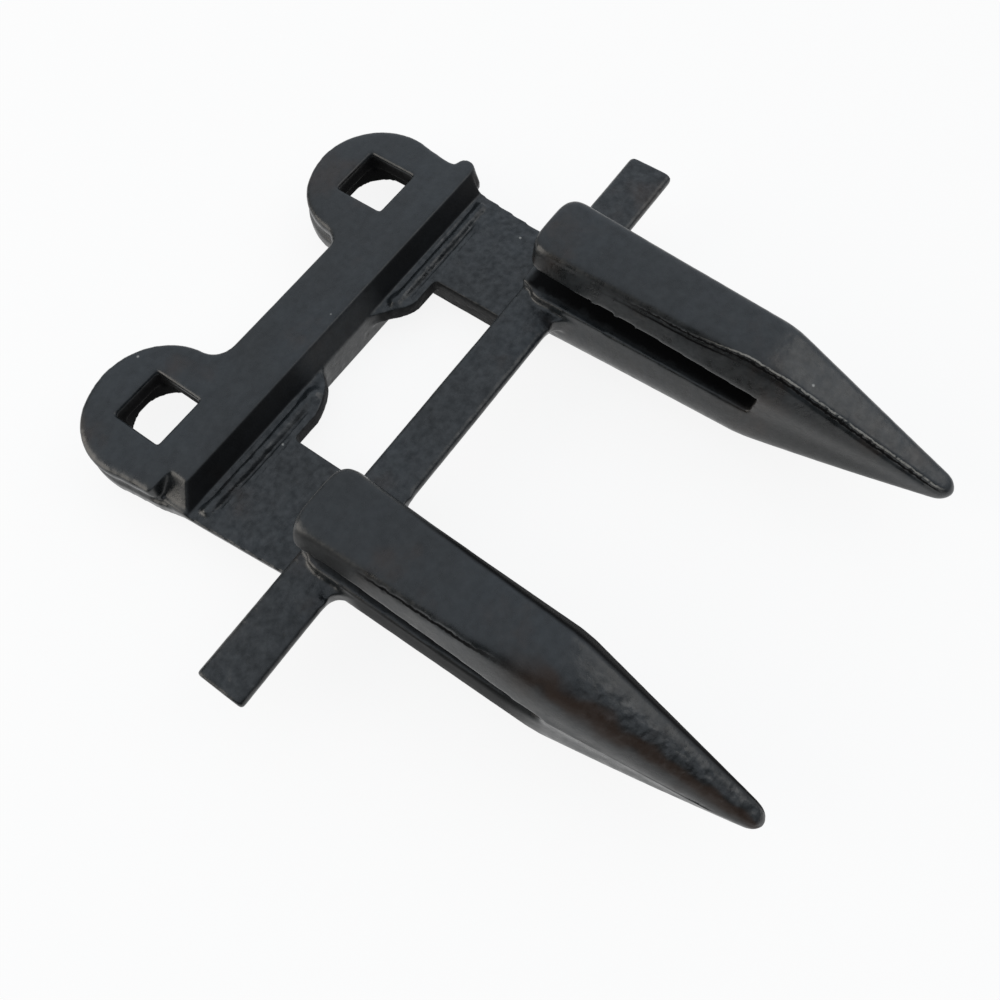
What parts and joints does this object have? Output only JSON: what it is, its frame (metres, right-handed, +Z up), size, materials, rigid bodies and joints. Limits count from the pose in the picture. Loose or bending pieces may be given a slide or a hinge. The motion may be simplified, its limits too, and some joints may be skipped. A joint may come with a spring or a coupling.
{
  "type": "mower knife guard",
  "caption": "Forged double knife guard for a cutter bar: fingers slotted for the knife, a trash bar and a bolting plate with square-necked bolt holes.",
  "frame": {"origin": "middle of the line between the two bolt holes, on the underside of the bolting plate, where it seats on the cutter bar", "axes": "+X from bolt hole to bolt hole, +Y forward to the finger tips, +Z up along the bolts"},
  "size_m": [0.1518, 0.166, 0.0332],
  "materials": {
    "black_paint": "satin black paint over a forged surface"
  },
  "bodies": {
    "root": {"knife_guard": "black_paint"}
  },
  "joints": []
}
